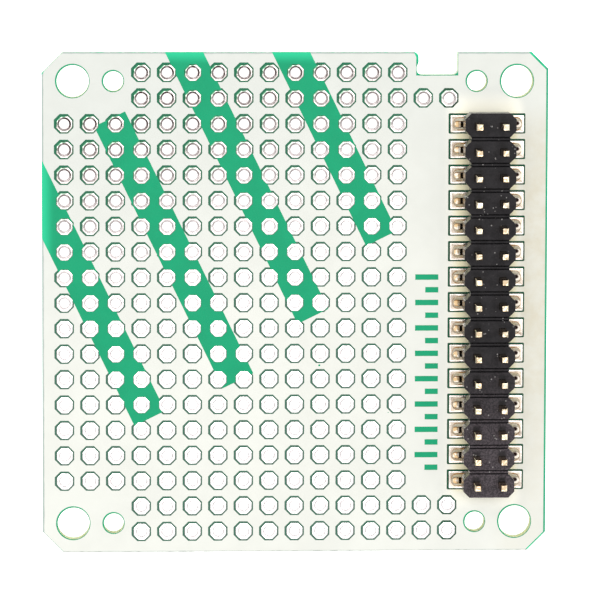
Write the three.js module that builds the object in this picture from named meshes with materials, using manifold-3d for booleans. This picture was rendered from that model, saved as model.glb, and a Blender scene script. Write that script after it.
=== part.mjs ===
// A square prototyping board with a 2 x 15 surface-mount pin header.
//
// The laminate lies flat on the XY plane with its component side up. The origin is
// the middle of its underside, +X runs towards the header and +Y towards the notch.
// Lengths are in millimetres.

import * as THREE from 'three';
import { mergeVertices } from 'three/addons/utils/BufferGeometryUtils.js';
import Module from 'manifold-3d';

// Pitch shared by the grid of holes and by the header.
const PITCH = 2.54;

// Laminate.
const BOARD_WIDTH = 50.16;
const BOARD_DEPTH = 49.78;
const BOARD_THICKNESS = 1.6;
const CHAMFER_FAR_LEFT = 2.1;
const CHAMFER_FAR_RIGHT = 1.65;
const CHAMFER_NEAR_LEFT = 2.1;
const CHAMFER_NEAR_RIGHT = 1.85;

// Notch routed into the far edge, with the cutter's radius in its two inner corners
// and a low lip on its left wall, which starts and ends at these depths below the edge.
const NOTCH_LEFT = 12.0;
const NOTCH_RIGHT = 16.1;
const NOTCH_FLOOR = 22.64;
const NOTCH_FILLET = 0.5;
const NOTCH_ARC_STEPS = 3;
const LIP_HEIGHT = 0.18;
const LIP_ROUND = 0.5;
const LIP_FULL_DEPTH = 1.0;
const LIP_END_DEPTH = 1.5;

// Grid of plated holes: columns run left to right and rows run from the notch edge
// to the near edge. Each band of rows has its own first and last column.
const GRID_CENTRE_COLUMN = 9;
const GRID_CENTRE_ROW = 7;
const GRID_HOLE_DIAMETER = 1.0;
const GRID_HOLE_SIDES = 8;
const GRID_BANDS = [
  { firstRow: -2, lastRow: -2, firstColumn: 3, lastColumn: 13 },
  { firstRow: -1, lastRow: -1, firstColumn: 3, lastColumn: 15 },
  { firstRow: 0, lastRow: 14, firstColumn: 0, lastColumn: 13 },
  { firstRow: 15, lastRow: 16, firstColumn: 3, lastColumn: 15 },
];

// Bare holes near the corners: screw holes and, beside each, a locating hole.
const SCREW_HOLE_DIAMETER = 3.2;
const SCREW_HOLE_X = 22.0;
const LOCATING_HOLE_DIAMETER = 2.0;
const LOCATING_HOLE_X = 18.0;
const CORNER_HOLE_Y = 22.0;
const CORNER_HOLE_SIDES = 16;

// Header: positions along Y, two pins across X.
const HEADER_X = 19.05;
const HEADER_POSITIONS = 15;
const INSULATOR_STANDOFF = 1.5;
const INSULATOR_HEIGHT = 2.54;
const INSULATOR_WIDTH = 5.05;
const SEGMENT_CHAMFER = 0.6;
const NECK_LENGTH = 0.4;
const NECK_RECESS = 0.15;
const PIN_SIZE = 0.64;
const PIN_CLEARANCE = 0.02;
const PIN_HEIGHT = 6.6;
const PIN_TIP_TAPER = 0.09;
const PIN_TIP_LENGTH = 0.2;
const FOOT_REACH = 2.05;
const BEND_RADIUS = 0.24;
const BEND_STEPS = 3;

// Room left past a cutting shape so that no two faces of a cut coincide.
const OVERSHOOT = 1;

const wasm = await Module();
wasm.setup();

const materials = {
  board: { color: 0xeef0e6, roughness: 0.5, metalness: 0 },
  insulator: { color: 0x2f2f31, roughness: 0.45, metalness: 0 },
  pin: { color: 0xe6c38a, roughness: 0.25, metalness: 1 },
};

function makeMesh(name, geometry, material) {
  const mesh = new THREE.Mesh(geometry, new THREE.MeshStandardMaterial(materials[material]));
  mesh.name = name;
  return mesh;
}

// Turns a closed three.js geometry into a solid that can be joined or cut.
function toSolid(geometry) {
  const bare = geometry.clone();
  bare.deleteAttribute('normal');
  bare.deleteAttribute('uv');
  const merged = mergeVertices(bare, 1e-5);
  return new wasm.Manifold(new wasm.Mesh({
    numProp: 3,
    vertProperties: new Float32Array(merged.attributes.position.array),
    triVerts: new Uint32Array(merged.index.array),
  }));
}

function toGeometry(solid) {
  const mesh = solid.getMesh();
  const geometry = new THREE.BufferGeometry();
  geometry.setAttribute('position', new THREE.BufferAttribute(mesh.vertProperties, 3));
  geometry.setIndex(new THREE.BufferAttribute(mesh.triVerts, 1));
  geometry.computeVertexNormals();
  return geometry;
}

function extrude(shape, depth, curveSegments) {
  return new THREE.ExtrudeGeometry(shape, { depth, bevelEnabled: false, curveSegments });
}

// Regular polygon drawn around a circle of the given diameter, flat sides facing the axes.
function roundHole(x, y, diameter, sides) {
  const hole = new THREE.Path();
  const cornerRadius = diameter / 2 / Math.cos(Math.PI / sides);
  for (let i = 0; i < sides; i += 1) {
    const angle = (2 * Math.PI * (i + 0.5)) / sides;
    const px = x + cornerRadius * Math.cos(angle);
    const py = y + cornerRadius * Math.sin(angle);
    if (i === 0) hole.moveTo(px, py);
    else hole.lineTo(px, py);
  }
  hole.closePath();
  return hole;
}

function arcPoints(shape, x, y, radius, startAngle, endAngle, steps) {
  for (let i = 0; i <= steps; i += 1) {
    const angle = startAngle + ((endAngle - startAngle) * i) / steps;
    shape.lineTo(x + radius * Math.cos(angle), y + radius * Math.sin(angle));
  }
}

// Laminate outline, anticlockwise from the near left corner, with the notch on the way.
function boardOutline() {
  const w = BOARD_WIDTH / 2;
  const d = BOARD_DEPTH / 2;
  const quarterTurn = Math.PI / 2;
  const filletY = NOTCH_FLOOR + NOTCH_FILLET;
  const filletRightX = NOTCH_RIGHT - NOTCH_FILLET;
  const filletLeftX = NOTCH_LEFT + NOTCH_FILLET;
  const lipX = NOTCH_LEFT + LIP_HEIGHT - LIP_ROUND;
  const outline = new THREE.Shape();
  outline.moveTo(-w + CHAMFER_NEAR_LEFT, -d);
  outline.lineTo(w - CHAMFER_NEAR_RIGHT, -d);
  outline.lineTo(w, -d + CHAMFER_NEAR_RIGHT);
  outline.lineTo(w, d - CHAMFER_FAR_RIGHT);
  outline.lineTo(w - CHAMFER_FAR_RIGHT, d);
  outline.lineTo(NOTCH_RIGHT, d);
  arcPoints(outline, filletRightX, filletY, NOTCH_FILLET, 0, -quarterTurn, NOTCH_ARC_STEPS);
  arcPoints(outline, filletLeftX, filletY, NOTCH_FILLET, -quarterTurn, -Math.PI, NOTCH_ARC_STEPS);
  outline.lineTo(NOTCH_LEFT, d - LIP_END_DEPTH);
  outline.lineTo(NOTCH_LEFT + LIP_HEIGHT, d - LIP_FULL_DEPTH);
  arcPoints(outline, lipX, d - LIP_ROUND, LIP_ROUND, 0, quarterTurn, NOTCH_ARC_STEPS);
  outline.lineTo(-w + CHAMFER_FAR_LEFT, d);
  outline.lineTo(-w, d - CHAMFER_FAR_LEFT);
  outline.lineTo(-w, -d + CHAMFER_NEAR_LEFT);
  outline.closePath();
  return outline;
}

function makeBoard() {
  const outline = boardOutline();
  for (const band of GRID_BANDS) {
    for (let row = band.firstRow; row <= band.lastRow; row += 1) {
      for (let column = band.firstColumn; column <= band.lastColumn; column += 1) {
        const x = (column - GRID_CENTRE_COLUMN) * PITCH;
        const y = (GRID_CENTRE_ROW - row) * PITCH;
        outline.holes.push(roundHole(x, y, GRID_HOLE_DIAMETER, GRID_HOLE_SIDES));
      }
    }
  }
  for (const sideX of [-1, 1]) {
    for (const sideY of [-1, 1]) {
      const y = sideY * CORNER_HOLE_Y;
      outline.holes.push(roundHole(sideX * SCREW_HOLE_X, y, SCREW_HOLE_DIAMETER, CORNER_HOLE_SIDES));
      outline.holes.push(roundHole(sideX * LOCATING_HOLE_X, y, LOCATING_HOLE_DIAMETER, CORNER_HOLE_SIDES));
    }
  }
  return makeMesh('board', extrude(outline, BOARD_THICKNESS), 'board');
}

// Plan of one insulator position: a block with its four upright corners cut off.
function segmentShape(x, y, width, length, chamfer) {
  const w = width / 2;
  const l = length / 2;
  const shape = new THREE.Shape();
  shape.moveTo(x - w + chamfer, y - l);
  shape.lineTo(x + w - chamfer, y - l);
  shape.lineTo(x + w, y - l + chamfer);
  shape.lineTo(x + w, y + l - chamfer);
  shape.lineTo(x + w - chamfer, y + l);
  shape.lineTo(x - w + chamfer, y + l);
  shape.lineTo(x - w, y + l - chamfer);
  shape.lineTo(x - w, y - l + chamfer);
  shape.closePath();
  return shape;
}

function positionY(index) {
  return ((HEADER_POSITIONS - 1) / 2 - index) * PITCH;
}

// Insulator: fifteen segments on one bar, which shows as a lower neck between them.
function makeInsulator() {
  const bottom = BOARD_THICKNESS + INSULATOR_STANDOFF;
  const neckWidth = INSULATOR_WIDTH - 2 * SEGMENT_CHAMFER;
  const length = HEADER_POSITIONS * PITCH;
  const bar = new THREE.BoxGeometry(neckWidth, length - NECK_LENGTH, INSULATOR_HEIGHT - NECK_RECESS);
  bar.translate(HEADER_X, 0, bottom + (INSULATOR_HEIGHT - NECK_RECESS) / 2);
  let body = toSolid(bar);
  for (let i = 0; i < HEADER_POSITIONS; i += 1) {
    const isFirst = i === 0;
    const isLast = i === HEADER_POSITIONS - 1;
    const endLength = isFirst || isLast ? NECK_LENGTH / 2 : 0;
    const segmentLength = PITCH - NECK_LENGTH + endLength;
    const y = positionY(i) + (isFirst ? endLength / 2 : 0) - (isLast ? endLength / 2 : 0);
    const segment = extrude(
      segmentShape(HEADER_X, y, INSULATOR_WIDTH, segmentLength, SEGMENT_CHAMFER),
      INSULATOR_HEIGHT,
    );
    segment.translate(0, 0, bottom);
    body = body.add(toSolid(segment));
  }
  const holeSize = PIN_SIZE + 2 * PIN_CLEARANCE;
  for (let i = 0; i < HEADER_POSITIONS; i += 1) {
    for (const side of [-1, 1]) {
      const hole = new THREE.BoxGeometry(holeSize, holeSize, INSULATOR_HEIGHT + 2 * OVERSHOOT);
      hole.translate(HEADER_X + (side * PITCH) / 2, positionY(i), bottom + INSULATOR_HEIGHT / 2);
      body = body.subtract(toSolid(hole));
    }
  }
  return makeMesh('header_insulator', toGeometry(body), 'insulator');
}

// Pin seen from the side, in X and Z: a leg on the origin, a bend, and a foot towards -X.
function pinSideShape() {
  const h = PIN_SIZE / 2;
  const tip = h - PIN_TIP_TAPER;
  const outer = BEND_RADIUS + PIN_SIZE;
  const bendX = -h - BEND_RADIUS;
  const quarterTurn = Math.PI / 2;
  const shape = new THREE.Shape();
  shape.moveTo(-FOOT_REACH, 0);
  arcPoints(shape, bendX, outer, outer, -quarterTurn, 0, BEND_STEPS);
  shape.lineTo(h, PIN_HEIGHT - PIN_TIP_LENGTH);
  shape.lineTo(tip, PIN_HEIGHT);
  shape.lineTo(-tip, PIN_HEIGHT);
  shape.lineTo(-h, PIN_HEIGHT - PIN_TIP_LENGTH);
  arcPoints(shape, bendX, outer, BEND_RADIUS, 0, -quarterTurn, BEND_STEPS);
  shape.lineTo(-FOOT_REACH, PIN_SIZE);
  shape.closePath();
  return shape;
}

// Pin seen along its foot, in Y and Z: a strip with a tapered tip.
function pinFrontShape() {
  const h = PIN_SIZE / 2;
  const tip = h - PIN_TIP_TAPER;
  const shape = new THREE.Shape();
  shape.moveTo(-h, -OVERSHOOT);
  shape.lineTo(h, -OVERSHOOT);
  shape.lineTo(h, PIN_HEIGHT - PIN_TIP_LENGTH);
  shape.lineTo(tip, PIN_HEIGHT);
  shape.lineTo(tip, PIN_HEIGHT + OVERSHOOT);
  shape.lineTo(-tip, PIN_HEIGHT + OVERSHOOT);
  shape.lineTo(-tip, PIN_HEIGHT);
  shape.lineTo(-h, PIN_HEIGHT - PIN_TIP_LENGTH);
  shape.closePath();
  return shape;
}

// Square-wire pin: the side profile trimmed by the front profile, so the tip tapers both ways.
function makePinGeometry() {
  const side = extrude(pinSideShape(), PIN_SIZE);
  side.translate(0, 0, -PIN_SIZE / 2);
  side.rotateX(Math.PI / 2);
  const frontDepth = FOOT_REACH + PIN_SIZE + 2 * OVERSHOOT;
  const front = extrude(pinFrontShape(), frontDepth);
  front.translate(0, 0, -FOOT_REACH - OVERSHOOT);
  front.rotateX(Math.PI / 2);
  front.rotateZ(Math.PI / 2);
  return toGeometry(toSolid(side).intersect(toSolid(front)));
}

function addPins(group) {
  const geometry = makePinGeometry();
  for (const side of [-1, 1]) {
    const sideName = side < 0 ? 'left' : 'right';
    for (let i = 0; i < HEADER_POSITIONS; i += 1) {
      const number = String(i + 1).padStart(2, '0');
      const pin = makeMesh(`header_pin_${sideName}_${number}`, geometry, 'pin');
      pin.position.set(HEADER_X + (side * PITCH) / 2, positionY(i), BOARD_THICKNESS);
      pin.rotation.z = side < 0 ? 0 : Math.PI;
      group.add(pin);
    }
  }
}

const protoBoard = new THREE.Group();
protoBoard.add(makeBoard());
protoBoard.add(makeInsulator());
addPins(protoBoard);

export default protoBoard;
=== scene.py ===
import math
import random

import bmesh
import bpy
from mathutils import Matrix, Vector
from mathutils.geometry import delaunay_2d_cdt


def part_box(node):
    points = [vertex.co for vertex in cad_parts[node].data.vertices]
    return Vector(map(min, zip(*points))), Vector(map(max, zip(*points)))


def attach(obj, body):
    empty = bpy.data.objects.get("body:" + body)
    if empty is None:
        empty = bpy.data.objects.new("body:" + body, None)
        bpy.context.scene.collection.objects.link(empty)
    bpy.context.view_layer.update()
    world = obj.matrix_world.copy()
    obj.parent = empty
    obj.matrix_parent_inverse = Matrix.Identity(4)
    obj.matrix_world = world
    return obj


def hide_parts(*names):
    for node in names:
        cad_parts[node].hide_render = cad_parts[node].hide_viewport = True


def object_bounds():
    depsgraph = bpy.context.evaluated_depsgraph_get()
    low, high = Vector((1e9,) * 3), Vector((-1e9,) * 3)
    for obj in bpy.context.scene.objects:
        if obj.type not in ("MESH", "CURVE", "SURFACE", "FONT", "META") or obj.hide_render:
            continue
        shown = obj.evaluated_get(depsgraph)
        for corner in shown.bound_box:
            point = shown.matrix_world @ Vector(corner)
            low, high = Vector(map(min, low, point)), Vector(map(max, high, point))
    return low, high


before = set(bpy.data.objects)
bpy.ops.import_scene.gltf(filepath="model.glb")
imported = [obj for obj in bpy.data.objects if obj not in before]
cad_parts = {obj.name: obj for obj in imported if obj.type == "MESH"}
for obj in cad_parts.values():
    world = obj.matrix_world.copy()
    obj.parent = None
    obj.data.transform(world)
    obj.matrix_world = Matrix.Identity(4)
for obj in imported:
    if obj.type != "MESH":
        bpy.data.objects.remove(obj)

# A perforated prototyping board with a 2 x 15 surface-mount pin header.
# Plans are drawn in millimetres in the frame's own axes; meshes are made in metres.
MM = 0.001
random.seed(15)


def box_mm(node):
    low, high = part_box(node)
    return low / MM, high / MM


# ---------------------------------------------------------------- sizes from the frame
cad_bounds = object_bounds()
BOARD_LOW, BOARD_HIGH = box_mm("board")
INSULATOR_LOW, INSULATOR_HIGH = box_mm("header_insulator")
FIRST_PIN = box_mm("header_pin_left_01")
LAST_PIN = box_mm("header_pin_left_15")
HEADER_POSITIONS = 15
PITCH = (FIRST_PIN[1].y - LAST_PIN[1].y) / (HEADER_POSITIONS - 1)
PIN_SIZE = FIRST_PIN[1].y - FIRST_PIN[0].y
HEADER_X = (INSULATOR_LOW.x + INSULATOR_HIGH.x) / 2
PIN_LEFT_X = FIRST_PIN[1].x - PIN_SIZE / 2
FOOT_REACH = PIN_LEFT_X - FIRST_PIN[0].x
PIN_HEIGHT = FIRST_PIN[1].z - FIRST_PIN[0].z
HALF_WIDTH = BOARD_HIGH.x
HALF_DEPTH = BOARD_HIGH.y
BOARD_TOP = BOARD_HIGH.z

# ---------------------------------------------------------------- board layers, in mm
CHAMFER_FAR_LEFT = 2.1
CHAMFER_FAR_RIGHT = 1.65
CHAMFER_NEAR_LEFT = 2.1
CHAMFER_NEAR_RIGHT = 1.85

# The notch in the far edge, and the low lip on its left wall.
NOTCH_LEFT = 12.0
NOTCH_RIGHT = 16.1
NOTCH_FLOOR = 22.64
NOTCH_FILLET = 0.5
LIP_HEIGHT = 0.18
LIP_ROUND = 0.5
LIP_FULL_DEPTH = 1.0
LIP_END_DEPTH = 1.5

# Rows of plated holes, counted from the far side, and the columns filled in each band of rows.
GRID_CENTRE_COLUMN = 9
GRID_CENTRE_ROW = 7
GRID_BANDS = (
    (range(-2, -1), range(3, 14)),
    (range(-1, 0), range(3, 16)),
    (range(0, 15), range(0, 14)),
    (range(15, 17), range(3, 16)),
)

# Holes by diameter, pads across their flats, and the gaps that mask and print leave round them.
DRILL = 1.0
PLATING = 0.02
GRID_PAD = 1.64
SCREW_HOLE = 3.2
SCREW_HOLE_X = 22.0
LOCATING_HOLE = 2.0
LOCATING_HOLE_X = 18.0
CORNER_HOLE_Y = 22.0
HEADER_PAD_SIZE = (2.62, 1.72)
HEADER_PAD_X = 2.36
PAD_CORNER = 0.12
MASK_GAP = 0.003
PRINT_GAP = 0.15
PRINT_SHIFT = Vector((-0.045, 0.035))
HOLE_PRINT_GAP = 0.11

# How far the print stays inside the board's edges and outside the notch's, and its own chamfers.
PRINT_LEFT = 0.0
PRINT_RIGHT = 0.20
PRINT_FAR = 0.0
PRINT_NEAR = 0.02
PRINT_NOTCH_LEFT = 0.05
PRINT_NOTCH_FLOOR = 0.07
PRINT_NOTCH_RIGHT = 0.02
PRINT_CHAMFER_FAR_LEFT = 2.12
PRINT_CHAMFER_FAR_RIGHT = 1.76
PRINT_CHAMFER_NEAR_LEFT = 2.14
PRINT_CHAMFER_NEAR_RIGHT = 1.83

# Bite out of the print at the lower end of its far left chamfer, from that end.
PRINT_BITE = ((0.34, 0.34), (0.13, 0.02), (0.0, -0.16))

# Nicks along the print's far and near edges.
NICK_SPACING = 0.35
NICK_DEPTH = 0.05

# Heights of the layers: laminate, mask, print and tin, mirrored below without the print.
LAMINATE_TOP = BOARD_TOP - 0.060
MASK_TOP = BOARD_TOP - 0.026
PRINT_TOP = BOARD_TOP - 0.008
LAMINATE_BOTTOM = 0.060
MASK_BOTTOM = 0.026

# Profiles of the pads: how far each ring is drawn in from the pad's edge, and its height.
GRID_PAD_RIM = ((0.0, LAMINATE_TOP), (0.0, BOARD_TOP - 0.022), (0.035, BOARD_TOP - 0.005))
HEADER_PAD_RIM = (
    (0.0, LAMINATE_TOP), (0.0, BOARD_TOP - 0.022), (0.02, BOARD_TOP - 0.008), (0.07, BOARD_TOP)
)

# Profile of a plated hole's mouth: how far each ring stands back from the bore, and its height.
HOLE_MOUTH = (
    (0.05, BOARD_TOP), (0.022, BOARD_TOP - 0.01), (0.006, BOARD_TOP - 0.03), (0.0, BOARD_TOP - 0.07)
)

# Plain green stripes: where each one's centre line lies, and how far it runs along it.
STRIPE_WIDTH = 3.4
STRIPE_LEAN = math.radians(26)
STRIPES = ((-18.0, -24.0, 4.0), (-8.5, -24.5, 4.5), (1.0, -30.0, 2.0), (10.5, -30.0, -2.0))

# Places where a dot of print is missing, and each one's radius.
PRINT_DOTS = ((2.42, -6.24, 0.11), (9.3, -11.0, 0.05))

# Plain ruler ticks beside the header.
TICK_X = 13.1
TICK_ROWS = range(6, 14)
TICK_HEIGHT = 0.55
TICK_LONG = 2.3
TICK_SHORT = 1.3

# Sides of the polygons that stand for circles, and steps in each small rounded corner.
HOLE_SIDES = 32
CORNER_HOLE_SIDES = 64
RIM_SIDES = 48
CORNER_STEPS = 6


# ---------------------------------------------------------------- plan outlines, in mm
def on_circle(x, y, radius, angle):
    return (x + radius * math.cos(angle), y + radius * math.sin(angle))


def polygon(x, y, radius, sides, turn):
    return [on_circle(x, y, radius, turn + 2 * math.pi * i / sides) for i in range(sides)]


def arc(x, y, radius, start, end, steps):
    return [on_circle(x, y, radius, start + (end - start) * i / steps) for i in range(steps + 1)]


def octagon(x, y, flats):
    return polygon(x, y, flats / 2 / math.cos(math.pi / 8), 8, math.pi / 8)


def circle(x, y, diameter, sides):
    return polygon(x, y, diameter / 2, sides, 0.0)


def rectangle(x, y, width, height):
    w, h = width / 2, height / 2
    return [(x - w, y - h), (x + w, y - h), (x + w, y + h), (x - w, y + h)]


def rounded_rectangle(x, y, width, height, radius, steps=4):
    quarter = math.pi / 2
    w, h = width / 2 - radius, height / 2 - radius
    points = []
    for index, (sx, sy) in enumerate(((1, 1), (-1, 1), (-1, -1), (1, -1))):
        points += arc(x + sx * w, y + sy * h, radius, index * quarter, (index + 1) * quarter, steps)
    return points


def stripe(offset, start, end):
    along = Vector((math.sin(STRIPE_LEAN), -math.cos(STRIPE_LEAN)))
    across = Vector((math.cos(STRIPE_LEAN), math.sin(STRIPE_LEAN)))
    corners = []
    for t, side in ((start, -1), (end, -1), (end, 1), (start, 1)):
        corners.append(tuple(across * (offset + side * STRIPE_WIDTH / 2) + along * t))
    return corners


def board_outline():
    """The board's plan, from its near left corner round: its chamfers, and the notch with its lip."""
    quarter = math.pi / 2
    w, d = HALF_WIDTH, HALF_DEPTH
    n0, n1, floor = NOTCH_LEFT, NOTCH_RIGHT, NOTCH_FLOOR
    points = [(-w + CHAMFER_NEAR_LEFT, -d), (w - CHAMFER_NEAR_RIGHT, -d), (w, -d + CHAMFER_NEAR_RIGHT),
              (w, d - CHAMFER_FAR_RIGHT), (w - CHAMFER_FAR_RIGHT, d), (n1, d)]
    r = NOTCH_FILLET
    points += arc(n1 - r, floor + r, r, 0, -quarter, CORNER_STEPS)
    points += arc(n0 + r, floor + r, r, -quarter, -2 * quarter, CORNER_STEPS)
    points += [(n0, d - LIP_END_DEPTH), (n0 + LIP_HEIGHT, d - LIP_FULL_DEPTH)]
    points += arc(n0 + LIP_HEIGHT - LIP_ROUND, d - LIP_ROUND, LIP_ROUND, 0, quarter, CORNER_STEPS)
    return points + [(-w + CHAMFER_FAR_LEFT, d), (-w, d - CHAMFER_FAR_LEFT), (-w, -d + CHAMFER_NEAR_LEFT)]


def print_outline():
    """The print's plan: drawn in from the board's edges, square in the notch, short at one corner."""
    w0, w1 = -HALF_WIDTH + PRINT_LEFT, HALF_WIDTH - PRINT_RIGHT
    d0, d1 = -HALF_DEPTH + PRINT_NEAR, HALF_DEPTH - PRINT_FAR
    n0, n1 = NOTCH_LEFT - PRINT_NOTCH_LEFT, NOTCH_RIGHT + PRINT_NOTCH_RIGHT
    floor = NOTCH_FLOOR - PRINT_NOTCH_FLOOR
    points = [(w0 + PRINT_CHAMFER_NEAR_LEFT, d0), (w1 - PRINT_CHAMFER_NEAR_RIGHT, d0),
              (w1, d0 + PRINT_CHAMFER_NEAR_RIGHT), (w1, d1 - PRINT_CHAMFER_FAR_RIGHT),
              (w1 - PRINT_CHAMFER_FAR_RIGHT, d1), (n1, d1), (n1, floor), (n0, floor),
              (n0, d1 - LIP_ROUND), (n0 - LIP_ROUND / 2, d1), (w0 + PRINT_CHAMFER_FAR_LEFT, d1)]
    points += [(w0 + x, d1 - PRINT_CHAMFER_FAR_LEFT + y) for x, y in PRINT_BITE]
    return points + [(w0, d0 + PRINT_CHAMFER_NEAR_LEFT)]


def grid_points():
    """Middles of the plated holes."""
    for rows, columns in GRID_BANDS:
        for row in rows:
            for column in columns:
                yield (column - GRID_CENTRE_COLUMN) * PITCH, (GRID_CENTRE_ROW - row) * PITCH


def corner_holes():
    """Middles and diameters of the screw holes and the locating holes."""
    for side_x in (-1, 1):
        for side_y in (-1, 1):
            yield side_x * SCREW_HOLE_X, side_y * CORNER_HOLE_Y, SCREW_HOLE
            yield side_x * LOCATING_HOLE_X, side_y * CORNER_HOLE_Y, LOCATING_HOLE


def position_y(index):
    """Where a header position lies along Y; position 0 is the far one."""
    return ((HEADER_POSITIONS - 1) / 2 - index) * PITCH


def header_pads():
    """Middles of the header's pads, with -1 for a left-hand one and 1 for a right-hand one."""
    for index in range(HEADER_POSITIONS):
        for side in (-1, 1):
            yield HEADER_X + side * HEADER_PAD_X, position_y(index), side


# ---------------------------------------------------------------- mesh tools
def finish_piece(mesh, name, materials, smooth_angle=None):
    """Turns a bmesh drawn in millimetres into a piece that rides on the board."""
    data = bpy.data.meshes.new(name)
    bmesh.ops.scale(mesh, vec=(MM, MM, MM), verts=mesh.verts)
    bmesh.ops.recalc_face_normals(mesh, faces=mesh.faces)
    mesh.to_mesh(data)
    mesh.free()
    piece = bpy.data.objects.new(name, data)
    bpy.context.scene.collection.objects.link(piece)
    for material in materials:
        data.materials.append(material)
    if smooth_angle is not None:
        data.shade_smooth()
        data.set_sharp_from_angle(angle=math.radians(smooth_angle))
    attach(piece, "root")
    return piece


def relief(loops, levels, wall_number=None):
    """A closed solid over a plan. Every loop cuts the plane, and levels() says, for the loops
    round a place, its low and high face and its material number, or None for empty space.
    Upright faces take wall_number, where it is given, or else their place's number."""
    points, faces = [], []
    for loop in loops:
        faces.append(list(range(len(points), len(points) + len(loop))))
        points += [Vector(p) for p in loop]
    corners, _, triangles, _, _, owners = delaunay_2d_cdt(points, [], faces, 1, 1e-6)
    cells, edge_cell, heights = [], {}, {}
    for triangle, ids in zip(triangles, owners):
        level = levels(set(ids))
        if level is None:
            continue
        a, b, c = (corners[i] for i in triangle)
        if (b - a).cross(c - a) < 0:
            triangle = triangle[::-1]
        cells.append((triangle, level))
        for i, j in zip(triangle, triangle[1:] + triangle[:1]):
            edge_cell[(i, j)] = level
            heights.setdefault(i, set()).update(level[:2])
            heights.setdefault(j, set()).update(level[:2])
    mesh = bmesh.new()
    made = {}

    def vertex(i, z):
        if (i, z) not in made:
            made[(i, z)] = mesh.verts.new((corners[i].x, corners[i].y, z))
        return made[(i, z)]

    def wall(i, j, low, high, number):
        up_j = [z for z in sorted(heights[j]) if low <= z <= high]
        down_i = [z for z in sorted(heights[i], reverse=True) if low <= z <= high]
        face = mesh.faces.new([vertex(j, z) for z in up_j] + [vertex(i, z) for z in down_i])
        face.material_index = number if wall_number is None else wall_number

    for triangle, (low, high, number) in cells:
        mesh.faces.new([vertex(i, high) for i in triangle]).material_index = number
        mesh.faces.new([vertex(i, low) for i in reversed(triangle)]).material_index = number
        for i, j in zip(triangle, triangle[1:] + triangle[:1]):
            other = edge_cell.get((j, i))
            if other is None:
                wall(i, j, low, high, number)
                continue
            if high > other[1]:
                wall(i, j, other[1], high, number)
            if low < other[0]:
                wall(i, j, low, other[0], number)
    return mesh


def loft(mesh, rings, closed=False):
    """Joins rings of equal length into a capped tube, or into a closed band that has no ends."""
    made = [[mesh.verts.new(p) for p in ring] for ring in rings]
    count = len(made[0])
    pairs = list(zip(made, made[1:]))
    if closed:
        pairs.append((made[-1], made[0]))
    for lower, upper in pairs:
        for i in range(count):
            j = (i + 1) % count
            mesh.faces.new((lower[i], lower[j], upper[j], upper[i]))
    if not closed:
        mesh.faces.new(list(reversed(made[0])))
        mesh.faces.new(made[-1])


# ---------------------------------------------------------------- material tools
class Nodes:
    """A material's node tree, with short names for the nodes that the surfaces share."""

    def __init__(self, name, roughness, metallic=0.0, specular=0.5):
        self.material = bpy.data.materials.new(name)
        self.material.use_nodes = True
        self.tree = self.material.node_tree
        self.shader = self.tree.nodes["Principled BSDF"]
        self.shader.inputs["Roughness"].default_value = roughness
        self.shader.inputs["Metallic"].default_value = metallic
        self.shader.inputs["Specular IOR Level"].default_value = specular
        self.place = self.add("ShaderNodeTexCoord").outputs["Object"]

    def add(self, kind, **inputs):
        node = self.tree.nodes.new(kind)
        for key, value in inputs.items():
            self.set(node.inputs[key.replace("_", " ")], value)
        return node

    def set(self, socket, value):
        if isinstance(value, bpy.types.NodeSocket):
            self.tree.links.new(value, socket)
        else:
            socket.default_value = value

    def math(self, operation, *values):
        node = self.tree.nodes.new("ShaderNodeMath")
        node.operation = operation
        for socket, value in zip(node.inputs, values):
            self.set(socket, value)
        return node.outputs[0]

    def plus(self, first, second):
        return self.math("ADD", first, second)

    def minus(self, first, second):
        return self.math("SUBTRACT", first, second)

    def times(self, first, *others):
        for other in others:
            first = self.math("MULTIPLY", first, other)
        return first

    def size(self, value):
        return self.math("ABSOLUTE", value)

    def least(self, first, second):
        return self.math("MINIMUM", first, second)

    def most(self, first, *others):
        for other in others:
            first = self.math("MAXIMUM", first, other)
        return first

    def above(self, value, limit):
        """1 where the value is over the limit, and 0 elsewhere."""
        return self.math("GREATER_THAN", value, limit)

    def below(self, value, limit):
        """1 where the value is under the limit, and 0 elsewhere."""
        return self.math("LESS_THAN", value, limit)

    def length(self, across, along):
        """Length of the arrow that has these two parts."""
        return self.math("SQRT", self.plus(self.times(across, across), self.times(along, along)))

    def split(self):
        return self.add("ShaderNodeSeparateXYZ", Vector=self.place).outputs

    def stretch(self, scale):
        return self.add("ShaderNodeMapping", Vector=self.place, Scale=scale).outputs["Vector"]

    def noise(self, scale, detail=3.0, roughness=0.5, vector=None):
        node = self.add("ShaderNodeTexNoise", Vector=vector or self.place, Scale=scale, Detail=detail)
        self.set(node.inputs["Roughness"], roughness)
        return node.outputs["Fac"]

    def cells(self, scale, vector=None):
        node = self.add("ShaderNodeTexVoronoi", Vector=vector or self.place, Scale=scale)
        return node.outputs["Distance"]

    def span(self, value, low, high, to_low=0.0, to_high=1.0):
        """A smooth step: to_low up to low, to_high from high on."""
        node = self.add("ShaderNodeMapRange", Value=value, From_Min=low, From_Max=high)
        node.interpolation_type = "SMOOTHSTEP"
        self.set(node.inputs["To Min"], to_low)
        self.set(node.inputs["To Max"], to_high)
        return node.outputs["Result"]

    def mix(self, factor, a, b):
        node = self.tree.nodes.new("ShaderNodeMix")
        node.data_type = "RGBA"
        self.set(node.inputs["Factor"], factor)
        self.set(node.inputs["A"], a)
        self.set(node.inputs["B"], b)
        return node.outputs["Result"]

    def bump(self, height, strength, distance, normal=None):
        node = self.add("ShaderNodeBump", Height=height, Strength=strength, Distance=distance)
        if normal is not None:
            self.set(node.inputs["Normal"], normal)
        return node.outputs["Normal"]

    def out(self, color, roughness, normal):
        for key, value in (("Base Color", color), ("Roughness", roughness), ("Normal", normal)):
            self.set(self.shader.inputs[key], value)
        return self.material


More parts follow.
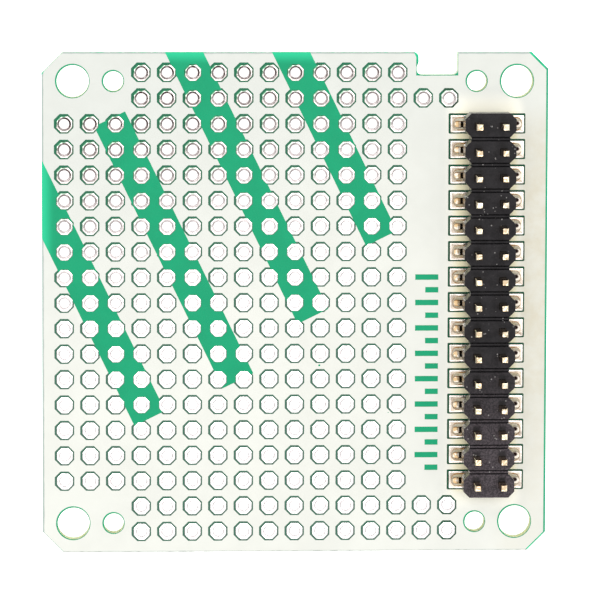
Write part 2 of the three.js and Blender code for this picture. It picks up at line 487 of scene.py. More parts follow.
def rgb(red, green, blue):
    """A colour given as 8-bit screen values, in the linear values that a shader takes."""
    def linear(value):
        part = value / 255
        return part / 12.92 if part <= 0.04045 else ((part + 0.055) / 1.055) ** 2.4
    return (linear(red), linear(green), linear(blue), 1.0)


# ---------------------------------------------------------------- places on the board
# How far along an edge a corner's own colours reach, past its chamfer.
CORNER_REACH = 2.3
# How far round the notch its walls are looked for.
NOTCH_REACH = 0.3


def edge_nearness(n, reach):
    """1 at the board's outer edge, falling to 0 at reach metres inside it."""
    x, y, _ = n.split()
    from_side = n.minus(HALF_WIDTH * MM, n.size(x))
    from_end = n.minus(HALF_DEPTH * MM, n.size(y))
    return n.span(n.least(from_side, from_end), 0.0, reach, 1.0, 0.0)


def routed_walls(n):
    """1 on the board's outer edges, on its chamfers and in its notch."""
    x, y, _ = n.split()
    on_edge = n.above(edge_nearness(n, 2.4 * MM), 0.98)
    on_chamfer = n.above(n.plus(n.size(x), n.size(y)), (HALF_WIDTH + HALF_DEPTH - CORNER_REACH) * MM)
    beyond_left = n.above(x, (NOTCH_LEFT - NOTCH_REACH) * MM)
    short_of_right = n.below(x, (NOTCH_RIGHT + NOTCH_REACH) * MM)
    beyond_floor = n.above(y, (NOTCH_FLOOR - NOTCH_REACH) * MM)
    return n.most(on_edge, on_chamfer, n.times(beyond_left, short_of_right, beyond_floor))


def hole_distance(n):
    """Metres from the middle of the nearest place on the hole grid, and that place's own offsets."""
    x, y, _ = n.split()
    offsets = [n.math("WRAP", value, PITCH * MM / 2, -PITCH * MM / 2) for value in (x, y)]
    return n.length(*offsets), offsets


def octagon_distance(n, u, v):
    """Metres from a place's middle to the octagon through a point, measured across its flats."""
    side_u, side_v = n.size(u), n.size(v)
    corner = n.times(n.plus(side_u, side_v), math.sqrt(0.5))
    return n.most(side_u, side_v, corner)


def far_left(n):
    """Rises from 0 at the board's middle to 1 at its far left corner."""
    x, y, _ = n.split()
    return n.span(n.minus(y, n.times(x, 0.35)), -4.0 * MM, 27.0 * MM)


def header_haze(n, x, y):
    """A cloudy patch to the right of the header, fainter at the near end and gone past the far one."""
    beside = n.span(n.minus(x, HEADER_X * MM), 0.0, 2.5 * MM)
    from_near = n.span(y, -24.0 * MM, 2.0 * MM, 0.25, 1.0)
    short_of_far = n.span(y, 16.0 * MM, 20.5 * MM, 1.0, 0.0)
    cloud = n.span(n.noise(520.0, 5.0, 0.65), 0.3, 0.7, 0.35, 0.8)
    return n.times(beside, from_near, short_of_far, cloud)


def header_distance(n, x, y):
    """Metres from the insulator's plan, counted longer on its right, and metres past its ends."""
    beyond = n.minus(x, HEADER_X * MM)
    beside = n.minus(n.size(beyond), (INSULATOR_HIGH.x - HEADER_X) * MM)
    beside = n.times(beside, n.span(beyond, -1.0 * MM, 1.0 * MM, 1.08, 1.55))
    past_end = n.minus(n.size(y), INSULATOR_HIGH.y * MM)
    return n.length(n.most(beside, 0.0), n.most(past_end, 0.0)), past_end


def worn_edge(n, x, y):
    """Rises where the print thins out raggedly at the board's left, far and near edges."""
    ragged = n.times(n.noise(1100.0, 3.0, 0.6), 0.14 * MM)
    from_left = n.minus(n.plus(x, HALF_WIDTH * MM), ragged)
    from_far = n.minus(n.minus(HALF_DEPTH * MM, y), ragged)
    from_near = n.minus(n.plus(y, HALF_DEPTH * MM), ragged)
    left = n.span(from_left, 0.04 * MM, 0.15 * MM, 0.9, 0.0)
    far = n.span(from_far, 0.04 * MM, 0.17 * MM, 0.8, 0.0)
    near = n.span(from_near, 0.0, 0.09 * MM, 0.35, 0.0)
    return n.most(left, far, near)


# ---------------------------------------------------------------- materials
def make_mask(name, weave, base, towards_far_left, beside_header, edge, rim):
    """Green lacquer: brighter towards the board's edge, painted light for light that scatters in through the
    edge, with a thin darker rim on the right, a darker line across the near left corner and a grey one along
    the near edge."""
    n = Nodes(name, 0.34, specular=0.12)
    x, y, _ = n.split()
    base = n.mix(far_left(n), base, towards_far_left)
    base = n.mix(n.above(x, (HEADER_X - 4.4) * MM), base, beside_header)
    worn = n.add("ShaderNodeHueSaturation", Color=base, Value=0.94).outputs["Color"]
    tint = n.mix(n.span(n.noise(420.0, 4.0, 0.6), 0.35, 0.65), base, worn)
    # Painted light: the lacquer turns lighter near the board's edge, where light scatters in through it.
    tint = n.mix(edge_nearness(n, 1.3 * MM), tint, edge)
    tint = n.mix(n.above(x, (HALF_WIDTH - 0.3) * MM), tint, rim)
    near_left = n.below(n.plus(x, y), (CORNER_REACH - HALF_WIDTH - HALF_DEPTH) * MM)
    tint = n.mix(near_left, tint, rgb(58, 140, 112))
    tint = n.mix(n.below(y, (0.1 - HALF_DEPTH) * MM), tint, rgb(112, 124, 114))
    strands = n.add("ShaderNodeTexWave", Vector=n.place, Scale=780.0, Distortion=1.5)
    strands.bands_direction = "X"
    height = n.plus(n.times(strands.outputs["Fac"], weave), n.noise(2600.0))
    rough = n.span(n.noise(900.0), 0.3, 0.7, 0.26, 0.42)
    return n.out(tint, rough, n.bump(height, 0.25, 0.01 * MM))


def make_print():
    """White ink: hazy to the right of the header, whiter and warmer close to it, partly a cream tint and
    partly painted light against the header's shade, greyer towards the far left corner as painted shade, worn
    at the edges, with a few green specks."""
    n = Nodes("white_print_ink", 0.5, specular=0.35)
    x, y, _ = n.split()
    tint = n.mix(n.span(n.noise(160.0, 4.0, 0.55), 0.3, 0.7), rgb(229, 230, 222), rgb(224, 225, 217))
    tint = n.mix(header_haze(n, x, y), tint, rgb(211, 203, 179))
    # Painted shade: the print greys towards the far left corner, as the light falls off there.
    tint = n.mix(n.times(far_left(n), 0.7), tint, rgb(212, 215, 209))
    away, past_end = header_distance(n, x, y)
    # Partly painted light: whiter close to the header, to offset the shade that the header casts; the warm
    # cream is the print's own tint there.
    tint = n.mix(n.span(away, 0.3 * MM, 2.3 * MM, 1.0, 0.0), tint, rgb(255, 253, 240))
    between_ends = n.span(past_end, -0.5 * MM, 0.2 * MM, 1.0, 0.2)
    flux = n.times(n.span(away, 0.1 * MM, 1.4 * MM, 0.8, 0.0), between_ends)
    tint = n.mix(flux, tint, rgb(255, 246, 202))
    tint = n.mix(worn_edge(n, x, y), tint, rgb(166, 180, 174))
    speck = n.span(n.cells(260.0, n.stretch((1.0, 1.0, 0.0))), 0.018, 0.03, 1.0, 0.0)
    rare = n.span(n.noise(75.0, 1.0), 0.60, 0.64)
    tint = n.mix(n.times(speck, rare, 0.55), tint, rgb(96, 140, 112))
    rough = n.span(n.noise(700.0), 0.3, 0.7, 0.42, 0.58)
    return n.out(tint, rough, n.bump(n.noise(5200.0, 2.0, 0.6), 0.3, 0.008 * MM))


def make_laminate():
    """Glass and epoxy: yellow-green where it is drilled, paler on the routed outer edge."""
    n = Nodes("glass_epoxy", 0.55)
    n.shader.inputs["Subsurface Weight"].default_value = 0.25
    n.shader.inputs["Subsurface Scale"].default_value = 0.6 * MM
    n.shader.inputs["Subsurface Radius"].default_value = (0.8, 1.0, 0.4)
    plies = n.noise(1.0, 3.0, 0.6, n.stretch((260.0, 260.0, 5200.0)))
    fibres = n.noise(1.0, 2.0, 0.5, n.stretch((3800.0, 3800.0, 900.0)))
    layer = n.span(plies, 0.35, 0.65)
    drilled_tint = n.mix(layer, rgb(206, 210, 158), rgb(168, 176, 118))
    drilled_tint = n.mix(n.span(fibres, 0.55, 0.72, 0.0, 0.5), drilled_tint, rgb(222, 226, 178))
    routed_tint = n.mix(layer, rgb(205, 214, 190), rgb(182, 198, 170))
    tint = n.mix(routed_walls(n), drilled_tint, routed_tint)
    height = n.plus(plies, n.times(fibres, 0.6))
    return n.out(tint, n.span(fibres, 0.3, 0.7, 0.45, 0.7), n.bump(height, 0.6, 0.02 * MM))


def make_tin(name, colour, stain, ripple_strength, metallic=1.0):
    """The cloudy, rippled surface that the pads and the solder share, for the caller to finish."""
    n = Nodes(name, 0.25, metallic)
    tint = n.mix(n.span(n.noise(900.0, 4.0, 0.6), 0.42, 0.68), colour, stain)
    rough = n.span(n.noise(2200.0, 3.0, 0.6), 0.3, 0.75, 0.12, 0.28)
    ripple = n.bump(n.noise(1500.0, 2.0), ripple_strength, 0.03 * MM)
    normal = n.bump(n.noise(9000.0, 2.0), 0.1, 0.004 * MM, ripple)
    return n, tint, rough, normal


def make_pad_tin():
    """Bright levelled tin: a dull ring at the hole, towards the far left corner greyer, with a brown ring and
    a green band that is a painted reflection of the lacquer, and a thin dark line of painted shade where the
    pad falls away to the lacquer."""
    n, tint, rough, normal = make_tin("levelled_tin", rgb(216, 216, 215), rgb(211, 210, 208), 0.12)
    distance, (u, v) = hole_distance(n)
    across = octagon_distance(n, u, v)
    tarnish_and_reflection = far_left(n)
    tint = n.mix(n.times(tarnish_and_reflection, 0.7), tint, rgb(190, 181, 174))
    dull_ring = n.span(n.size(n.minus(distance, 0.56 * MM)), 0.02 * MM, 0.09 * MM, 1.0, 0.0)
    tint = n.mix(n.times(dull_ring, 0.8), tint, rgb(188, 176, 177))
    brown_ring = n.span(n.size(n.minus(distance, 0.605 * MM)), 0.055 * MM, 0.11 * MM, 1.0, 0.0)
    facing = n.span(n.plus(n.times(u, 0.8), v), -0.6 * MM, 0.5 * MM, 0.88, 1.0)
    flecks = n.span(n.noise(2400.0, 2.0, 0.6), 0.36, 0.52, 0.7, 1.0)
    tint = n.mix(n.times(tarnish_and_reflection, facing, flecks, brown_ring), tint, rgb(40, 26, 26))
    # Painted reflection: the green lacquer mirrored in the far left rim of pads towards the far left corner.
    far_left_side = n.span(n.minus(v, u), 0.25 * MM, 0.75 * MM)
    band = n.span(across, 0.67 * MM, 0.72 * MM)
    tint = n.mix(n.times(far_left_side, tarnish_and_reflection, band), tint, rgb(16, 92, 62))
    # Painted shade: a thin dark line on the pad's sloping edge.
    edge = n.span(across, 0.770 * MM, 0.805 * MM)
    tint = n.mix(n.times(edge, 0.75), tint, rgb(96, 88, 82))
    return n.out(tint, rough, normal)


def make_header_tin():
    """Duller tin with a bright margin along the pad's own edges."""
    n, tint, rough, normal = make_tin("header_pad_tin", rgb(176, 164, 151), rgb(142, 128, 114), 0.3, 0.8)
    x, _, _ = n.split()
    _, (_, v) = hole_distance(n)
    from_middle = n.size(n.minus(x, HEADER_X * MM))
    from_end = n.minus((HEADER_PAD_X + HEADER_PAD_SIZE[0] / 2) * MM, from_middle)
    from_side = n.minus(HEADER_PAD_SIZE[1] / 2 * MM, n.size(v))
    margin = n.span(n.least(from_end, from_side), 0.08 * MM, 0.20 * MM, 1.0, 0.0)
    patchy = n.span(n.noise(1400.0, 2.0), 0.3, 0.7, 0.3, 1.0)
    tint = n.mix(n.times(margin, patchy), tint, rgb(226, 222, 216))
    return n.out(tint, rough, normal)


def make_solder():
    """Solder under a film of flux, which dulls its mirror and lies amber along the fillet's edge."""
    n, tint, rough, normal = make_tin("solder_fillet", rgb(244, 236, 216), rgb(230, 217, 182), 0.2, 0.3)
    _, _, z = n.split()
    low = n.span(z, (BOARD_TOP + 0.02) * MM, (BOARD_TOP + 0.09) * MM, 1.0, 0.0)
    flux = n.times(low, n.span(n.noise(1500.0, 2.0), 0.35, 0.6, 0.35, 1.0))
    tint = n.mix(flux, tint, rgb(166, 114, 44))
    return n.out(tint, n.plus(rough, 0.12), normal)


def make_gold():
    """Gold flash: paler at the tip as a painted highlight, and on the feet warmer, brown at the sides and
    with painted highlights in patches. The right-hand feet are soldered over, with a small dark spot of
    painted shade at the body."""
    n = Nodes("gold_flash", 0.1, 1.0)
    x, _, z = n.split()
    _, (_, v) = hole_distance(n)
    tone = n.noise(700.0, 3.0, 0.6)
    tint = n.mix(n.span(tone, 0.35, 0.7), rgb(208, 190, 158), rgb(196, 172, 134))
    # Painted highlight: the upper part of each pin is paler.
    tip_highlight_tint = n.mix(n.span(tone, 0.3, 0.6), rgb(214, 203, 182), rgb(196, 174, 144))
    high = n.span(z, (INSULATOR_HIGH.z + 1.6) * MM, (INSULATOR_HIGH.z + 2.4) * MM)
    tint = n.mix(high, tint, tip_highlight_tint)
    foot = n.below(z, (BOARD_TOP + 1.0) * MM)
    tint = n.mix(n.times(foot, 0.28), tint, rgb(200, 150, 88))
    sides = n.span(n.size(v), 0.17 * MM, 0.30 * MM)
    patchy = n.span(n.noise(1900.0), 0.35, 0.6, 0.3, 0.9)
    tint = n.mix(n.times(sides, patchy, foot), tint, rgb(150, 104, 58))
    # Painted highlights: whitish patches on the feet.
    painted_highlights = n.times(n.span(n.noise(2600.0, 2.0), 0.48, 0.60, 0.0, 0.8), foot)
    tint = n.mix(painted_highlights, tint, rgb(230, 223, 212))
    on_right = n.above(x, HEADER_X * MM)
    tint = n.mix(n.times(foot, on_right, 0.75), tint, rgb(214, 207, 197))
    # Painted shade: a small dark spot on each right-hand foot next to the insulator.
    along = n.math("DIVIDE", n.minus(x, (HEADER_X + 2.86) * MM), 0.30 * MM)
    across = n.math("DIVIDE", n.minus(v, 0.09 * MM), 0.24 * MM)
    painted_shade_spot = n.span(n.length(along, across), 0.6, 1.15, 1.0, 0.0)
    tint = n.mix(n.times(painted_shade_spot, foot), tint, rgb(26, 13, 10))
    seam = n.times(n.span(v, 0.20 * MM, 0.27 * MM), n.below(x, HEADER_X * MM), foot)
    tint = n.mix(n.times(seam, 0.8), tint, rgb(128, 88, 44))
    scratches = n.noise(1.0, 3.0, 0.6, n.stretch((9000.0, 9000.0, 500.0)))
    rough = n.span(scratches, 0.3, 0.7, 0.05, 0.13)
    return n.out(tint, rough, n.bump(scratches, 0.08, 0.004 * MM))


def make_plastic():
    """Black moulding: satin on top, with dust, and with a greyer painted sheen towards the near end, a
    painted reflection of the bright sky that leaves out the corner behind each pin, where the pin would block
    it."""
    n = Nodes("black_moulding", 0.4, specular=0.12)
    _, y, z = n.split()
    _, (u, v) = hole_distance(n)
    tint = n.mix(n.span(n.noise(800.0, 4.0, 0.6), 0.35, 0.65), rgb(14, 13, 15), rgb(27, 26, 28))
    grain = n.noise(6500.0, 3.0, 0.6)
    # Painted reflection: a grey sheen on the top towards the near end, left out behind each pin where the pin
    # would block it.
    towards_near = n.span(y, -17.0 * MM, -3.0 * MM, 1.0, 0.12)
    on_top = n.above(z, (INSULATOR_HIGH.z - 0.1) * MM)
    beside_pin = n.span(n.size(u), 0.26 * MM, 0.50 * MM, 0.75, 0.0)
    behind_pin = n.times(n.span(v, 0.60 * MM, 0.95 * MM, 1.0, 0.0), n.above(v, 0.2 * MM))
    unblocked_by_pin = n.minus(1.0, n.times(beside_pin, behind_pin))
    painted_sheen = n.times(towards_near, n.span(grain, 0.38, 0.62, 0.3, 1.0), on_top, unblocked_by_pin)
    tint = n.mix(painted_sheen, tint, rgb(80, 72, 77))
    dust = n.span(n.cells(2300.0), 0.13, 0.19, 1.0, 0.0)
    patch = n.span(n.noise(900.0, 2.0), 0.50, 0.58)
    tint = n.mix(n.times(dust, patch, 0.75), tint, rgb(150, 147, 146))
    rough = n.span(n.noise(1300.0), 0.3, 0.7, 0.34, 0.5)
    return n.out(tint, rough, n.bump(grain, 0.3, 0.01 * MM))


def make_plastic_wall():
    """The same moulding where it lay against the polished sides of the mould."""
    n = Nodes("black_moulding_side", 0.25, specular=0.3)
    tint = n.mix(n.span(n.noise(800.0, 4.0, 0.6), 0.35, 0.65), rgb(26, 26, 27), rgb(36, 35, 36))
    flow = n.noise(1.0, 2.0, 0.5, n.stretch((700.0, 700.0, 220.0)))
    rough = n.span(n.noise(1300.0), 0.3, 0.7, 0.18, 0.30)
    return n.out(tint, rough, n.bump(flow, 0.05, 0.01 * MM))


GREEN = rgb(11, 160, 112)
MASK = make_mask(
    "solder_mask_green", 0.5, base=GREEN, towards_far_left=GREEN, beside_header=GREEN,
    edge=rgb(38, 201, 147), rim=rgb(54, 165, 124))
# Painted shade: a darker, greyer copy of the lacquer for the thin rings in the print's windows, with its own
# tones towards the far left corner and beside the header.
MASK_SHADED_RING = make_mask(
    "solder_mask_shaded_in_print_gap", 0.3, base=rgb(68, 111, 92), towards_far_left=rgb(30, 112, 80),
    beside_header=rgb(15, 79, 52), edge=rgb(32, 131, 94), rim=rgb(56, 141, 108))
PRINT = make_print()
LAMINATE = make_laminate()
TIN = make_pad_tin()
HEADER_TIN = make_header_tin()
SOLDER = make_solder()
GOLD = make_gold()
PLASTIC = make_plastic()
PLASTIC_WALL = make_plastic_wall()


# ---------------------------------------------------------------- board pieces
def header_windows(gap, dx=0.0, dy=0.0):
    """Outlines a gap wider all round than the header's pads."""
    width, height = (size + 2 * gap for size in HEADER_PAD_SIZE)
    return [rounded_rectangle(x + dx, y + dy, width, height, PAD_CORNER) for x, y, _ in header_pads()]


def drilled_holes():
    holes = [circle(x, y, DRILL + 2 * PLATING, HOLE_SIDES) for x, y in grid_points()]
    return holes + [circle(x, y, d, CORNER_HOLE_SIDES) for x, y, d in corner_holes()]


def mask_openings():
    pads = [octagon(x, y, GRID_PAD + 2 * MASK_GAP) for x, y in grid_points()]
    return pads + [circle(x, y, d, RIM_SIDES) for x, y, d in corner_holes()]


def pad_windows():
    """Windows in the print round the pads, a little out of place as the print is."""
    dx, dy = PRINT_SHIFT
    windows = [octagon(x + dx, y + dy, GRID_PAD + 2 * PRINT_GAP) for x, y in grid_points()]
    return windows + header_windows(PRINT_GAP, dx, dy)


def hole_windows():
    dx, dy = PRINT_SHIFT
    return [circle(x + dx, y + dy, d + 2 * HOLE_PRINT_GAP, RIM_SIDES) for x, y, d in corner_holes()]


def stripes():
    return [stripe(*each) for each in STRIPES]


def ticks():
    shapes = []
    for row in TICK_ROWS:
        y = (GRID_CENTRE_ROW - row) * PITCH
        shapes.append(rectangle(TICK_X, y, TICK_LONG, TICK_HEIGHT))
        short_x = TICK_X + (TICK_LONG - TICK_SHORT) / 2
        shapes.append(rectangle(short_x, y - PITCH / 2, TICK_SHORT, TICK_HEIGHT))
    return shapes


def plate(outline, openings, low, high):
    """A flat sheet with openings."""
    return relief([outline] + openings, lambda ids: (low, high, 0) if ids == {0} else None)


def make_core():
    mesh = plate(board_outline(), drilled_holes(), LAMINATE_BOTTOM, LAMINATE_TOP)
    core = finish_piece(mesh, "laminate_core", [LAMINATE], 30)
    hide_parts("board")


def make_mask_top():
    """The lacquer above: in the print's windows it takes a darker copy of its material as painted shade,
    except on a stripe.
    """
    openings = mask_openings() + header_windows(MASK_GAP)
    windows = pad_windows()
    loops = [board_outline()] + openings + windows + stripes()
    first_window = 1 + len(openings)
    first_shape = first_window + len(windows)

    def levels(ids):
        if 0 not in ids or any(0 < i < first_window for i in ids):
            return None
        in_window = any(first_window <= i < first_shape for i in ids)
        in_shape = any(i >= first_shape for i in ids)
        return (LAMINATE_TOP, MASK_TOP, 1 if in_window and not in_shape else 0)

    finish_piece(relief(loops, levels), "solder_mask_top", [MASK, MASK_SHADED_RING])


def make_mask_bottom():
    mesh = plate(board_outline(), mask_openings(), MASK_BOTTOM, LAMINATE_BOTTOM)
    finish_piece(mesh, "solder_mask_bottom", [MASK])


def nicked(outline):
    """The outline with a slightly ragged line where it runs along the board's far and near edges."""
    points = []
    for (x0, y0), (x1, y1) in zip(outline, outline[1:] + outline[:1]):
        points.append((x0, y0))
        steps = int(abs(x1 - x0) / NICK_SPACING)
        if abs(y1 - y0) > 1e-6 or steps < 2:
            continue
        inward = -1 if y0 > 0 else 1
        for i in range(1, steps):
            nick = NICK_DEPTH * random.random() ** 3
            points.append((x0 + (x1 - x0) * i / steps, y0 + inward * nick))
    return points


def make_print_top():
    dots = [polygon(x, y, radius, 7, 0.3) for x, y, radius in PRINT_DOTS]
    openings = pad_windows() + hole_windows() + stripes() + dots + ticks()
    mesh = plate(nicked(print_outline()), openings, MASK_TOP, PRINT_TOP)
    finish_piece(mesh, "white_print_top", [PRINT])


def pad_radius(angle, flats):
    """Distance from an octagon's middle to its edge in one direction."""
    step = math.pi / 4
    nearest = round(angle / step) * step
    return flats / 2 / math.cos(angle - nearest)


def level_ring(x, y, z, radii):
    """A level ring of points at equal angles, each at its own distance from the middle."""
    step = 2 * math.pi / len(radii)
    return [(*on_circle(x, y, radius, step * i), z) for i, radius in enumerate(radii)]


def make_grid_pads():
    """Plated holes: an octagonal pad above and below, and the barrel between them, as one eyelet."""
    hole = DRILL / 2
    rim = [pad_radius(2 * math.pi * i / HOLE_SIDES, GRID_PAD) for i in range(HOLE_SIDES)]
    mesh = bmesh.new()
    for x, y in grid_points():
        upper = [level_ring(x, y, z, [reach - inset for reach in rim]) for inset, z in GRID_PAD_RIM]
        upper += [level_ring(x, y, z, [hole + back] * HOLE_SIDES) for back, z in HOLE_MOUTH]
        lower = [[(px, py, BOARD_TOP - pz) for px, py, pz in ring] for ring in reversed(upper)]
        barrel = [level_ring(x, y, z, [hole + PLATING] * HOLE_SIDES) for z in (LAMINATE_BOTTOM, LAMINATE_TOP)]
        loft(mesh, upper + lower + barrel, closed=True)
    finish_piece(mesh, "grid_pads", [TIN], 50)


def make_header_pads():
    width, height = HEADER_PAD_SIZE
    mesh = bmesh.new()
    for x, y, _ in header_pads():
        rings = []
        for inset, z in HEADER_PAD_RIM:
            plan = rounded_rectangle(x, y, width - 2 * inset, height - 2 * inset, PAD_CORNER)
            rings.append([(px, py, z) for px, py in plan])
        loft(mesh, rings)
    finish_piece(mesh, "header_pads", [HEADER_TIN], 50)


# ---------------------------------------------------------------- header pieces
# The insulator's segments and the necks between them.
SEGMENT_CHAMFER = 0.6
NECK_LENGTH = 0.4
GROOVE = 0.09
GROOVE_DEPTH = 0.32
STRIP_DEPTH = 0.05
PIN_OPENING = PIN_SIZE + 0.02
MOULD_EDGE = 0.035

# The pins' wire, and the foot's end by how far in from it each half width is reached.
BEND_RADIUS = 0.24
BEND_STEPS = 6
WIRE_EDGE = 0.035
FOOT_END = ((0.0, 0.12), (0.03, 0.19), (0.09, 0.26), (0.2, PIN_SIZE / 2))
FOOT_DIP = 0.03
FOOT_DIP_X = -1.45
FOOT_DIP_LENGTH = 0.36

# The pins' tips, and how unevenly they were sheared.
TIP_TAPER = 0.09
TIP_LENGTH = 0.20
TIP_ROUND = 0.03
TIP_SLIP = 0.05
TIP_KEPT = (0.70, 0.95)
TIP_LEAN = 0.14

# The solder fillets: lowest and highest value of what differs from one to the next.
FILLET_STEPS = 6
FILLET_SPREAD = (0.30, 0.38)
FILLET_CLIMB = (0.40, 0.50)
FILLET_TOE = (0.08, 0.14)
FILLET_INNER_END = 0.3
FILLET_EDGE = 0.004


def make_insulator():
    """Chamfered segments, with a neck between each pair: a narrow strip with a groove on each side."""
    half = (INSULATOR_HIGH.x - INSULATOR_LOW.x) / 2
    x0, x1 = HEADER_X - half, HEADER_X + half
    c = SEGMENT_CHAMFER
    neck_width = 2 * (half - c)
    end = INSULATOR_HIGH.y
    segments, grooves, strips, openings = [], [], [], []
    for index in range(HEADER_POSITIONS):
        y = position_y(index)
        low = -end if index == HEADER_POSITIONS - 1 else y - (PITCH - NECK_LENGTH) / 2
        high = end if index == 0 else y + (PITCH - NECK_LENGTH) / 2
        segments.append([(x0 + c, low), (x1 - c, low), (x1, low + c), (x1, high - c),
                         (x1 - c, high), (x0 + c, high), (x0, high - c), (x0, low + c)])
        if index:
            middle = y + PITCH / 2
            grooves.append(rectangle(HEADER_X, middle, neck_width, NECK_LENGTH))
            strips.append(rectangle(HEADER_X, middle, neck_width, NECK_LENGTH - 2 * GROOVE))
        for side in (-1, 1):
            openings.append(rectangle(HEADER_X + side * PITCH / 2, y, PIN_OPENING, PIN_OPENING))
    loops = segments + grooves + strips + openings
    first_groove = len(segments)
    first_strip = first_groove + len(grooves)
    first_opening = first_strip + len(strips)
    top, bottom = INSULATOR_HIGH.z, INSULATOR_LOW.z

    def levels(ids):
        if not ids or any(i >= first_opening for i in ids):
            return None
        if any(i < first_groove for i in ids):
            return (bottom, top, 0)
        if any(i >= first_strip for i in ids):
            return (bottom, top - STRIP_DEPTH, 0)
        return (bottom, top - GROOVE_DEPTH, 0)

    mesh = relief(loops, levels, wall_number=1)
    bmesh.ops.dissolve_limit(mesh, angle_limit=math.radians(1), verts=mesh.verts, edges=mesh.edges)
    piece = finish_piece(mesh, "insulator_moulding", [PLASTIC, PLASTIC_WALL], 30)
    bevel = piece.modifiers.new("mould_edges", "BEVEL")
    bevel.width = MOULD_EDGE * MM
    bevel.segments = 2
    bevel.limit_method = "ANGLE"
    bevel.angle_limit = math.radians(40)
    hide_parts("header_insulator")


def pin_path():
    """Centre line of a left-hand pin from its foot's end to its tip, with the wire's direction."""
    h = PIN_SIZE / 2
    bend = BEND_RADIUS + h
    points = [(-FOOT_REACH, h, 0.0), (-bend, h, 0.0)]
    for i in range(1, BEND_STEPS + 1):
        angle = math.pi / 2 * i / BEND_STEPS
        points.append((-bend + bend * math.sin(angle), h + bend * (1 - math.cos(angle)), angle))
    points.append((0.0, PIN_HEIGHT - TIP_LENGTH, math.pi / 2))
    return points


def wire_section(half_width, half_height, round_edge):
    """A rectangular section with its four edges taken off."""
    w, h, r = half_width, half_height, round_edge
    return [(w, -h + r), (w, h - r), (w - r, h), (-w + r, h),
            (-w, h - r), (-w, -h + r), (-w + r, -h), (w - r, -h)]


def pin_stations():
    """Places along the wire: its middle, its direction and its half width and half height there."""
    h = PIN_SIZE / 2
    tip = h - TIP_TAPER
    path = pin_path()
    foot = []
    for inset, half_width in FOOT_END:
        foot.append(((-FOOT_REACH + inset, h, 0.0), half_width, h))
    foot.append(((FOOT_DIP_X - 0.01, h, 0.0), h, h))
    foot.append(((FOOT_DIP_X + 0.01, h - 0.001, 0.0), h, h - 0.001))
    foot.append(((FOOT_DIP_X + FOOT_DIP_LENGTH, h - FOOT_DIP / 2, 0.0), h, h - FOOT_DIP / 2))
    foot.append(((path[1][0], h - FOOT_DIP / 2, 0.0), h, h - FOOT_DIP / 2))
    leg = [(place, h, h) for place in path[2:]]
    end = []
    for below_tip, half_width in ((TIP_ROUND, tip + 0.02), (0.0, tip)):
        end.append(((0.0, PIN_HEIGHT - below_tip, math.pi / 2), half_width, half_width))
    return foot + leg + end


def shear_tip(ring, x0, y0, top):
    """Draws the last ring of a pin in a little and tips it, as a sheared wire end is."""
    slip_x, slip_y = random.uniform(-TIP_SLIP, TIP_SLIP), random.uniform(-TIP_SLIP, TIP_SLIP)
    kept = random.uniform(*TIP_KEPT)
    lean_x, lean_y = random.uniform(-TIP_LEAN, TIP_LEAN), random.uniform(-TIP_LEAN, TIP_LEAN)
    moved = []
    for x, y, _ in ring:
        dx, dy = (x - x0) * kept, (y - y0) * kept
        drop = TIP_ROUND + lean_x * dx + lean_y * dy
        moved.append((x0 + dx + slip_x, y0 + dy + slip_y, top - max(drop, 0.0)))
    return moved


def make_pins():
    """Bent square-wire pins, the right-hand row a mirror image of the left-hand one."""
    for side, name in ((-1, "left"), (1, "right")):
        for index in range(HEADER_POSITIONS):
            x0, y0 = HEADER_X + side * PITCH / 2, position_y(index)
            rings = []
            for (px, pz, angle), half_width, half_height in pin_stations():
                ring = []
                for u, v in wire_section(half_width, half_height, WIRE_EDGE):
                    x = x0 - side * (px - math.sin(angle) * v)
                    ring.append((x, y0 + u, BOARD_TOP + pz + math.cos(angle) * v))
                rings.append(ring)
            rings[-1] = shear_tip(rings[-1], x0, y0, BOARD_TOP + PIN_HEIGHT)
            mesh = bmesh.new()
            loft(mesh, rings)
            pin = finish_piece(mesh, f"pin_{name}_{index + 1:02d}", [GOLD], 35)
            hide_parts(f"header_pin_{name}_{index + 1:02d}")


def make_joints():
    """A concave bullet-shaped fillet of solder round each foot, running in under the insulator."""
    mesh = bmesh.new()
    h = PIN_SIZE / 2
    for _, y, side in header_pads():
        foot_end = HEADER_X + side * (PITCH / 2 + FOOT_REACH)
        inner_end = HEADER_X + side * (PITCH / 2 + FILLET_INNER_END)
        middle, length = (foot_end + inner_end) / 2, abs(foot_end - inner_end)
        spread = random.uniform(*FILLET_SPREAD)
        climb = random.uniform(*FILLET_CLIMB)
        toe = random.uniform(*FILLET_TOE)
        rings = []
        for i in range(-1, FILLET_STEPS + 1):
            t = max(i, 0) / FILLET_STEPS
            out = spread * (1 - t)
            ahead = toe * (1 - t)
            z = BOARD_TOP + (-FILLET_EDGE if i < 0 else FILLET_EDGE + climb * t ** 2)
            width, height = length + 2 * ahead - 0.02, 2 * h + 2 * out - 0.02
            corner = min(0.95 * height / 2, 0.30 + 0.8 * out)
            plan = rounded_rectangle(middle, y, width, height, corner, CORNER_STEPS)
            rings.append([(px, py, z) for px, py in plan])
        loft(mesh, rings)
    finish_piece(mesh, "solder_joints", [SOLDER], 60)


# ---------------------------------------------------------------- stage
FLOOR_REACH = 3.0


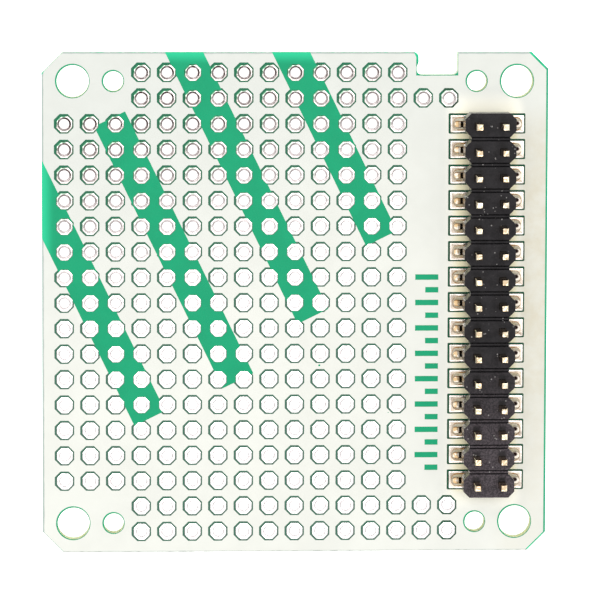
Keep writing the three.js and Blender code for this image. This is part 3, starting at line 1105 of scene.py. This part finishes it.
def make_floor():
    """A plain white table top, lit from within so that it stays white under the board."""
    mesh = bmesh.new()
    bmesh.ops.create_grid(mesh, x_segments=1, y_segments=1, size=FLOOR_REACH)
    data = bpy.data.meshes.new("floor")
    mesh.to_mesh(data)
    mesh.free()
    floor = bpy.data.objects.new("floor", data)
    floor.location.z = cad_bounds[0].z
    bpy.context.scene.collection.objects.link(floor)
    material = bpy.data.materials.new("white_table")
    material.use_nodes = True
    shader = material.node_tree.nodes["Principled BSDF"]
    shader.inputs["Base Color"].default_value = (0.82, 0.82, 0.82, 1.0)
    shader.inputs["Roughness"].default_value = 0.8
    shader.inputs["Emission Color"].default_value = (1.0, 1.0, 1.0, 1.0)
    shader.inputs["Emission Strength"].default_value = 0.9
    data.materials.append(material)


# Brightness of the studio's walls and ceiling by the height of the direction looked in.
SKY = ((0.0, 0.75), (0.25, 0.60), (0.45, 0.32), (0.78, 0.52), (0.90, 1.20), (1.0, 1.6))


def make_world():
    world = bpy.data.worlds.new("studio")
    bpy.context.scene.world = world
    world.use_nodes = True
    tree = world.node_tree
    place = tree.nodes.new("ShaderNodeTexCoord")
    split = tree.nodes.new("ShaderNodeSeparateXYZ")
    ramp = tree.nodes.new("ShaderNodeValToRGB")
    tree.links.new(place.outputs["Generated"], split.inputs[0])
    tree.links.new(split.outputs["Z"], ramp.inputs["Fac"])
    elements = ramp.color_ramp.elements
    elements[0].color = (SKY[0][1],) * 3 + (1.0,)
    elements[1].color = (SKY[-1][1],) * 3 + (1.0,)
    for height, level in SKY[1:-1]:
        elements.new(height).color = (level,) * 3 + (1.0,)
    tree.links.new(ramp.outputs["Color"], tree.nodes["Background"].inputs["Color"])
    tree.nodes["Background"].inputs["Strength"].default_value = 1.0


# Soft lights above the board, facing its middle: name, place in metres and power in watts.
SOFTBOX_SIZE = 0.6
SOFTBOXES = (
    ("key_softbox", (-0.30, 0.30, 1.35), 4.8),
    ("side_softbox", (0.40, 0.26, 1.35), 3.9),
    ("near_softbox", (-0.06, -0.52, 1.35), 2.4),
)


def add_softbox(name, position, power):
    light = bpy.data.lights.new(name, "AREA")
    light.shape = "SQUARE"
    light.size = SOFTBOX_SIZE
    light.energy = power
    box = bpy.data.objects.new(name, light)
    box.location = position
    box.rotation_mode = "QUATERNION"
    box.rotation_quaternion = (-Vector(position)).to_track_quat("-Z", "Y")
    bpy.context.scene.collection.objects.link(box)


# ---------------------------------------------------------------- camera
# A long lens at the photo's distance and direction, aimed beside the middle of the board's top.
LENS_MM = 288.2
SENSOR_MM = 36.0
CAMERA_DISTANCE = 0.4768
CAMERA_AIM = Vector((0.485, 0.285, 1.6)) * MM
CAMERA_FORWARD = Vector((0.0521, -0.0968, -0.9939))
CAMERA_ROLL = math.radians(0.13)


def make_camera():
    forward = CAMERA_FORWARD.normalized()
    right = forward.cross(Vector((0, 1, 0))).normalized()
    up = right.cross(forward)
    right, up = (right * math.cos(CAMERA_ROLL) + up * math.sin(CAMERA_ROLL),
                 up * math.cos(CAMERA_ROLL) - right * math.sin(CAMERA_ROLL))
    data = bpy.data.cameras.new("camera")
    data.lens = LENS_MM
    data.sensor_width = SENSOR_MM
    data.clip_start = 0.01
    data.clip_end = 20.0
    camera = bpy.data.objects.new("camera", data)
    turn = Matrix((right, up, -forward)).transposed().to_4x4()
    camera.matrix_world = Matrix.Translation(CAMERA_AIM - forward * CAMERA_DISTANCE) @ turn
    bpy.context.scene.collection.objects.link(camera)
    bpy.context.scene.camera = camera


# ---------------------------------------------------------------- build
make_camera()
make_core()
make_mask_top()
make_mask_bottom()
make_print_top()
make_grid_pads()
make_header_pads()
make_insulator()
make_pins()
make_joints()
make_floor()
make_world()
for softbox in SOFTBOXES:
    add_softbox(*softbox)
bpy.context.scene.view_settings.view_transform = "Standard"
